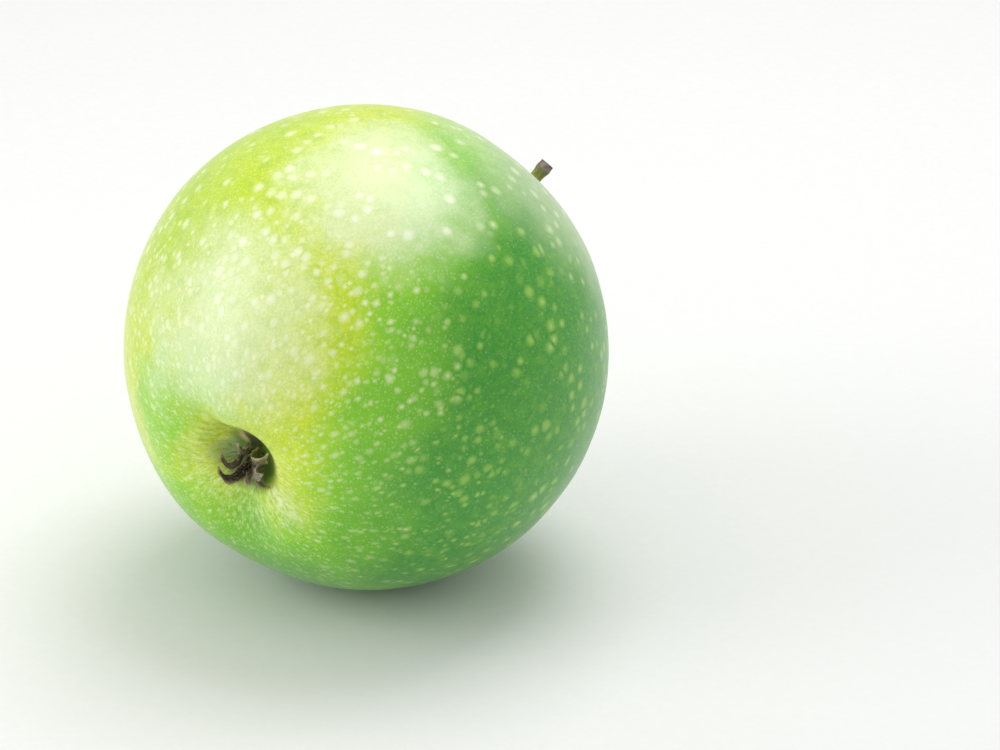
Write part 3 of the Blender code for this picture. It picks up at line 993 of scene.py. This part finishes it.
def make_stalk(material):
    """A leaning, curved stalk with ridges and scars, from its foot in the cavity to its cut tip."""
    tree, size, _ = size_tree("apple_stalk", STALK_SIZES)
    ball, share, angle = ball_points(tree, STALK_SEGMENTS, STALK_RINGS)
    ball = chain(tree, "GeometryNodeFlipFaces", ball)  # its top becomes the foot, at the bottom
    along, opening = capped(share, *STALK_CAPS)
    opening = largest(opening, 0.0) ** 0.9
    lean, delay = size.lean, size.lean * size.lean_delay
    turned = lean * along - delay
    up = size.length / lean * (sine(turned) + sine(delay))
    out = size.length / lean * (cosine(delay) - cosine(turned))

    place_along = along * size.length
    at_foot = bell(place_along, size.foot_length, 1.5)
    at_tip = bell(size.length - place_along, size.tip_length, 2.0)
    radius = size.radius + (size.foot_radius - size.radius) * at_foot
    radius = radius + (size.tip_radius - size.radius) * at_tip
    straight = vector(cosine(angle) * 1.6, sine(angle) * 1.6, along * 5.0)
    ridges = noise(scaled(straight, (1.0, 1.0, 0.35)), 1.7, 3.0, 0.55) - 0.5
    knots = noise(straight, 1.1, 2.0, 0.5) - 0.5
    scar = band(along, 0.62, 0.035) * rise(cosine(angle - 1.0), 0.1, 1.0)
    second_scar = band(along, 0.34, 0.03) * rise(cosine(angle + 1.9), 0.2, 1.0)
    lip = band(along, 0.955, 0.022) * rise(noise(straight, 2.4, 2.0), 0.3, 0.6)
    relief = ridges * 3.2 + knots * 2.4 + scar * 3.0 + second_scar * 2.4 + lip * 1.3
    radius = (radius + size.ridge_height * relief) * opening
    dish = (opening - 1.0) * size.radius * 0.35 * work("GREATER_THAN", share, 0.5)

    inward = radius * cosine(angle)
    sideways = radius * sine(angle)
    upward = up - inward * sine(turned) + dish * cosine(turned)
    outward = out + inward * cosine(turned) + dish * sine(turned)
    foot = skin_height(STALK_SIZES["foot_radius"], 0.0, stem_end=True) + STALK_LIFT
    x = outward * cosine(size.lean_azimuth) - sideways * sine(size.lean_azimuth)
    y = outward * sine(size.lean_azimuth) + sideways * cosine(size.lean_azimuth)
    z = upward + foot - size.rooting * at_foot

    stalk = note(tree, ball, "stalk_space", vector(inward / MM, sideways / MM, place_along / MM))
    stalk = note(tree, stalk, "stalk_share", along, "FLOAT")
    cut_face = work("GREATER_THAN", share, STALK_CAPS[1] + 0.008)
    stalk = note(tree, stalk, "cut_face", cut_face, "FLOAT")
    stalk = note(tree, stalk, "where", vector(*laid_down(x, y, z, SIZES.lay_down_angle)))
    stalk = moved(tree, stalk, noted(tree, "where"))
    finish_tree(tree, stalk, material)
    return grow("stalk_with_bark", tree, STALK_SIZES)


def bezier(points, share):
    """The place this far along a curve from the first point to the last, drawn by those between."""
    while len(points) > 1:
        points = [first.lerp(second, share) for first, second in zip(points, points[1:])]
    return points[0]


def above_calyx_skin(x, y, height):
    """Point that stands this far out of the basin, above the skin at x and y."""
    return Vector((x, y, skin_height(math.hypot(x, y), math.atan2(y, x), False) - height))


def random_wave(rng, count):
    """A random wave between -1 and 1, as a function of the share along a blade."""
    knots = rng.uniform(-1.0, 1.0, count + 1)
    return lambda share: float(np.interp(share * count, np.arange(count + 1), knots))


def closed_tube(name, rings, first, last):
    """A closed mesh through rings of points, with one end point before them and one after."""
    ring_count, sides = rings.shape[0], rings.shape[1]
    points = [first, *rings.reshape(-1, 3), last]
    end = len(points) - 1
    faces = []
    for side in range(sides):
        after = (side + 1) % sides
        faces.append((0, 1 + after, 1 + side))
        base = 1 + (ring_count - 1) * sides
        faces.append((end, base + side, base + after))
        for ring in range(ring_count - 1):
            low, high = 1 + ring * sides, 1 + (ring + 1) * sides
            faces.append((low + side, low + after, high + after, high + side))
    mesh = bpy.data.meshes.new(name)
    mesh.from_pydata([tuple(map(float, point)) for point in points], [], faces)
    mesh.polygons.foreach_set("use_smooth", [True] * len(mesh.polygons))
    return mesh


def sepal_mesh(number, name, foot_azimuth, breadth, channel, twist, *handles):
    """A curled, crinkled blade with ragged edges, thick at its foot and thin at its rim."""
    rng = np.random.default_rng(SEPAL_SEED + number)
    azimuth = math.radians(foot_azimuth)
    outward = Vector((math.cos(azimuth), math.sin(azimuth), 0.0))
    foot_height = skin_height(SEPAL_FOOT_RADIUS + SEPAL_FOOT_CLEARANCE, azimuth, False)
    control = [outward * SEPAL_FOOT_RADIUS + Vector((0.0, 0.0, foot_height - SEPAL_FOOT_LIFT))]
    control += [above_calyx_skin(*(Vector(handle) * MM)) for handle in handles]
    spine = [bezier(control, step / SEPAL_RINGS) for step in range(SEPAL_RINGS + 1)]
    across = Vector((-math.sin(azimuth), math.cos(azimuth), 0.0))
    left_edge, right_edge = random_wave(rng, 13), random_wave(rng, 11)
    ripple, sway = random_wave(rng, 7), random_wave(rng, 5)
    veins = rng.uniform(0.0, TAU, 3)
    at_foot, slope, curvature = SEPAL_OUTLINE
    rings, notes = [], []
    for step in range(SEPAL_RINGS + 1):
        share = step / SEPAL_RINGS
        before, after = spine[max(step - 1, 0)], spine[min(step + 1, SEPAL_RINGS)]
        heading = (after - before).normalized()
        across = (across - heading * across.dot(heading)).normalized()
        sideways = Matrix.Rotation(math.radians(twist) * share, 3, heading) @ across
        inner_face = heading.cross(sideways)
        outline = at_foot + slope * share + curvature * share**2
        half_width = SEPAL_FOOT_RADIUS * breadth / 2 * max(outline, 0.06)
        half_width *= math.sqrt(max(1.0 - share**7, 0.0)) * 0.97 + 0.03  # rounds off the tip
        ring = []
        for corner in range(SEPAL_SEGMENTS):
            angle = TAU * corner / SEPAL_SEGMENTS
            side, face = math.cos(angle), math.sin(angle)
            # ragged edges, then crinkles that lift the blade off its spine more towards the tip
            tatter = (left_edge if side < 0 else right_edge)(share) * 0.30 * abs(side) ** 3
            width = half_width * (1.0 + tatter)
            crinkle = math.sin(side * 5.0 + veins[0] + 7.0 * share) * 0.075
            crinkle += math.sin(side * 9.0 - veins[1] - 16.0 * share) * 0.050
            crinkle += ripple(share) * side * 0.16 + sway(share) * 0.07
            curl = half_width * channel * side**2 + crinkle * MM * min(1.0, 6.0 * share)
            # a bead along the rim, and a vein along the middle that ends before the tip
            bead = 0.55 * math.exp(-(((abs(side) - 0.90) / 0.10) ** 2))
            thickness = SEPAL_THICKNESS * (1.15 - 0.55 * share) * (1.0 - 0.45 * side**4 + bead) / 2
            vein = 1.0 + 0.35 * math.exp(-((side / 0.16) ** 2)) * (1.0 - share)
            point = spine[step] + sideways * width * side
            point += inner_face * (curl + thickness * vein * face * (0.35 + 0.65 * abs(face)))
            ring.append(TO_WORLD @ point)
            notes.append((side, share, face))
        rings.append(ring)
    foot, tip = TO_WORLD @ spine[0], TO_WORLD @ spine[-1]
    mesh = closed_tube(name, np.array(rings), foot, tip)
    notes = [(0.0, 0.0, 0.0), *notes, (0.0, 1.0, 0.0)]
    tones = [SEPAL_TONES[name]] * len(notes)
    for label, values in (("blade_space", notes), ("blade_tone", tones)):
        kept = mesh.attributes.new(label, "FLOAT_VECTOR", "POINT")
        kept.data.foreach_set("vector", np.array(values, np.float32).ravel())
    return mesh


def hair_tree(name, sizes, hair_material, own_material):
    """Short hairs scattered over a mesh, leaning at random. The mesh itself stays too."""
    tree, size, surface = size_tree(name, sizes)
    scatter = add_node(
        tree,
        "GeometryNodeDistributePointsOnFaces",
        {"Mesh": surface, "Density": size.hairs_per_square_metre, "Seed": size.seed},
    )
    points, normal = Field(scatter.outputs["Points"]), Field(scatter.outputs["Normal"])
    inputs = {"Vertices": 3, "Side Segments": 3, "Fill Segments": 1,
              "Radius Top": 0.0, "Radius Bottom": size.hair_radius, "Depth": size.hair_length}
    hair = Field(add_node(tree, "GeometryNodeMeshCone", inputs).outputs[0])
    hx, hy, hz = parts(position(tree))
    share = hz / size.hair_length
    hair = moved(tree, hair, vector(hx + size.hair_length * 0.35 * share * share, hy, hz))
    leaning = shifted(normal, random_vector(tree, -0.75, 0.75, 5))
    turned = add_node(tree, "FunctionNodeAlignRotationToVector", {"Vector": leaning}, axis="Z")
    spun = add_node(
        tree,
        "FunctionNodeRotateRotation",
        {0: Field(turned.outputs[0]), 1: random_vector(tree, 0.0, TAU, 9, (0.0, 0.0, 1.0))},
        rotation_space="LOCAL",
    )
    length, _, _ = parts(random_vector(tree, 0.45, 1.25, 3))
    scale = vector(1.0, 1.0, length)
    inputs = {"Instance": hair, "Rotation": Field(spun.outputs[0]), "Scale": scale}
    hairs = chain(tree, "GeometryNodeInstanceOnPoints", points, inputs)
    hairs = chain(tree, "GeometryNodeRealizeInstances", hairs)
    hairs = chain(tree, "GeometryNodeSetMaterial", hairs, {"Material": hair_material})
    base = chain(tree, "GeometryNodeSetMaterial", surface, {"Material": own_material})
    join = tree.nodes.new("GeometryNodeJoinGeometry")
    for mesh in (hairs, base):
        feed(join.inputs[0], mesh)
    add_node(tree, "NodeGroupOutput", (Field(join.outputs[0]),))
    return tree


def random_vector(tree, low, high, seed, axes=(1.0, 1.0, 1.0)):
    """A random vector for each point, between the same limits on each of the axes given."""
    made = add_node(tree, "FunctionNodeRandomValue", data_type="FLOAT_VECTOR")
    made.inputs["Seed"].default_value = seed
    made.inputs[0].default_value = tuple(low * axis for axis in axes)
    made.inputs[1].default_value = tuple(high * axis for axis in axes)
    return Field(made.outputs[0])


def thread_tree(name, sizes, material, floor):
    """A ring of dried threads that bend a little and end in a knob."""
    tree, size, _ = size_tree(name, sizes)
    ball, share, angle = ball_points(tree, THREAD_SEGMENTS, THREAD_RINGS)
    along, opening = capped(share, *THREAD_CAPS)
    knob = band(along, 0.93, 0.055) * (1.0 + 0.3 * cosine(2.0 * angle))
    taper = size.radius * (1.0 - 0.25 * along)
    radius = (taper + (size.knob_radius - size.radius) * knob) * opening
    bend = size.length * (0.10 * sine(along * 4.2) + 0.05 * sine(along * 9.0))
    sag = size.length * 0.06 * sine(along * 6.5)
    place = vector(
        radius * cosine(angle) + bend,
        radius * sine(angle) + sag,
        -(along * size.length),
    )
    thread = note(tree, ball, "thread_share", along, "FLOAT")
    thread = note(tree, thread, "bent", place)
    thread = moved(tree, thread, noted(tree, "bent"))
    thread = chain(tree, "GeometryNodeSetShadeSmooth", thread)

    points = Field(add_node(tree, "GeometryNodePoints", {"Count": size.count}).outputs[0])
    index = Field(add_node(tree, "GeometryNodeInputIndex").outputs[0])
    azimuth = TAU * (index + 0.5) / size.count
    spot = vector(size.ring_radius * cosine(azimuth), size.ring_radius * sine(azimuth), floor)
    points = moved(tree, points, spot)
    tilt_x, tilt_y, spin = parts(random_vector(tree, -0.16, 0.16, 2))
    euler = vector(tilt_x, size.splay + tilt_y, azimuth)
    turned = Field(add_node(tree, "FunctionNodeEulerToRotation", (euler,)).outputs[0])
    about = vector(0.0, 0.0, spin * 19.0)
    turned = add_node(
        tree, "FunctionNodeRotateRotation", {0: turned, 1: about}, rotation_space="LOCAL"
    )
    uneven, _, _ = parts(random_vector(tree, -1.0, 1.0, 4))
    scale = vector(1.0, 1.0, 1.0 + size.unevenness * uneven)
    inputs = {"Instance": thread, "Rotation": Field(turned.outputs[0]), "Scale": scale}
    ring = chain(tree, "GeometryNodeInstanceOnPoints", points, inputs)
    ring = chain(tree, "GeometryNodeRealizeInstances", ring)
    ring = moved(tree, ring, vector(*laid_down(*parts(position(tree)), SIZES.lay_down_angle)))
    finish_tree(tree, ring, material)
    return tree


def stands_for(piece, slot, *nodes):
    """Shows a piece in place of these CAD nodes, on the apple's one body. The slot is not used."""
    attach(piece, "root")
    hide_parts(*nodes)


def make_calyx(sepal_dry, thread_dry, down):
    """The sepals, with more down on the greyer ones, and the rings of stamens and styles."""
    downy = hair_tree("sepal_down", DOWN_SIZES, down, sepal_dry)
    for number, shape in enumerate(SEPALS):
        name = shape[0]
        mesh = sepal_mesh(number, *shape)
        _, grey, _ = SEPAL_TONES[name]
        density = DOWN_SIZES["hairs_per_square_metre"] * (0.35 + 0.9 * grey)
        seed = DOWN_SIZES["seed"] + number
        own = {**DOWN_SIZES, "hairs_per_square_metre": density, "seed": seed}
        piece = grow("dried_" + name, downy, own, mesh)
        stands_for(piece, "dry_sepal", name)
    floor = skin_height(*THREADS_STAND_AT, False) + THREAD_LIFT
    for kind, sizes in (("stamen", STAMEN_SIZES), ("style", STYLE_SIZES)):
        piece = grow(f"dried_{kind}s", thread_tree(f"{kind}_ring", sizes, thread_dry, floor), sizes)
        nodes = [f"{kind}_{number + 1}" for number in range(sizes["count"])]
        stands_for(piece, "dry_stamen", *nodes)


# --- Studio ---
def make_floor(material):
    """A wide level floor at the height that the fruit rests on."""
    mesh = bpy.data.meshes.new("studio_floor")
    corners = [(x * FLOOR_REACH, y * FLOOR_REACH, 0.0) for x, y in ((-1, -1), (1, -1), (1, 1), (-1, 1))]
    mesh.from_pydata(corners, [], [(0, 1, 2, 3)])
    mesh.materials.append(material)
    floor = bpy.data.objects.new("studio_floor", mesh)
    bpy.context.scene.collection.objects.link(floor)


def softbox(name, direction, size, power):
    """A white rectangular light that looks at the fruit's middle from this direction."""
    light = bpy.data.lights.new(name, "AREA")
    light.shape = "RECTANGLE"
    light.size, light.size_y = size
    light.energy = power
    obj = bpy.data.objects.new(name, light)
    bpy.context.scene.collection.objects.link(obj)
    direction = direction.normalized()
    obj.location = CORE_PLACE + direction * SOFTBOX_DISTANCE
    obj.rotation_euler = direction.to_track_quat("Z", "Y").to_euler()


def make_studio():
    """The camera, an even white surround and two softboxes that are placed from the camera's axes."""
    scene = bpy.context.scene
    azimuth, elevation = CAMERA_AZIMUTH, CAMERA_ELEVATION
    towards = Vector((
        math.sin(azimuth) * math.cos(elevation),
        -math.cos(azimuth) * math.cos(elevation),
        math.sin(elevation),
    ))
    right = Vector((math.cos(azimuth), math.sin(azimuth), 0.0))
    above = towards.cross(right)
    camera = bpy.data.objects.new("camera", bpy.data.cameras.new("camera"))
    scene.collection.objects.link(camera)
    target = CORE_PLACE + right * TARGET_RIGHT - above * TARGET_BELOW
    camera.location = target + towards * CAMERA_DISTANCE
    camera.rotation_euler = Matrix((right, above, towards)).transposed().to_euler()
    camera.data.sensor_width = 36.0
    camera.data.lens = CAMERA_LENS
    camera.data.clip_start = 0.01
    scene.camera = camera

    world = bpy.data.worlds.new("studio")
    world.use_nodes = True
    backdrop = world.node_tree.nodes["Background"]
    backdrop.inputs["Color"].default_value = (1.0, 1.0, 1.0, 1.0)
    backdrop.inputs["Strength"].default_value = WORLD_STRENGTH
    scene.world = world
    from_top = above * 0.97 + right * 0.21 + towards * 0.11
    from_left = -right * 0.89 + towards * 0.37 + above * 0.26
    softbox("top_softbox", from_top, (0.36, 0.36), 1.5)
    softbox("left_softbox", from_left, (0.32, 0.40), 1.05)
    scene.view_settings.view_transform = "Standard"


make_floor(floor_material())
make_studio()
stands_for(make_fruit(skin_material()), "apple_skin", "fruit")
stands_for(make_stalk(bark_material()), "stalk_bark", "stalk")
make_calyx(sepal_material(), thread_material(), down_material())
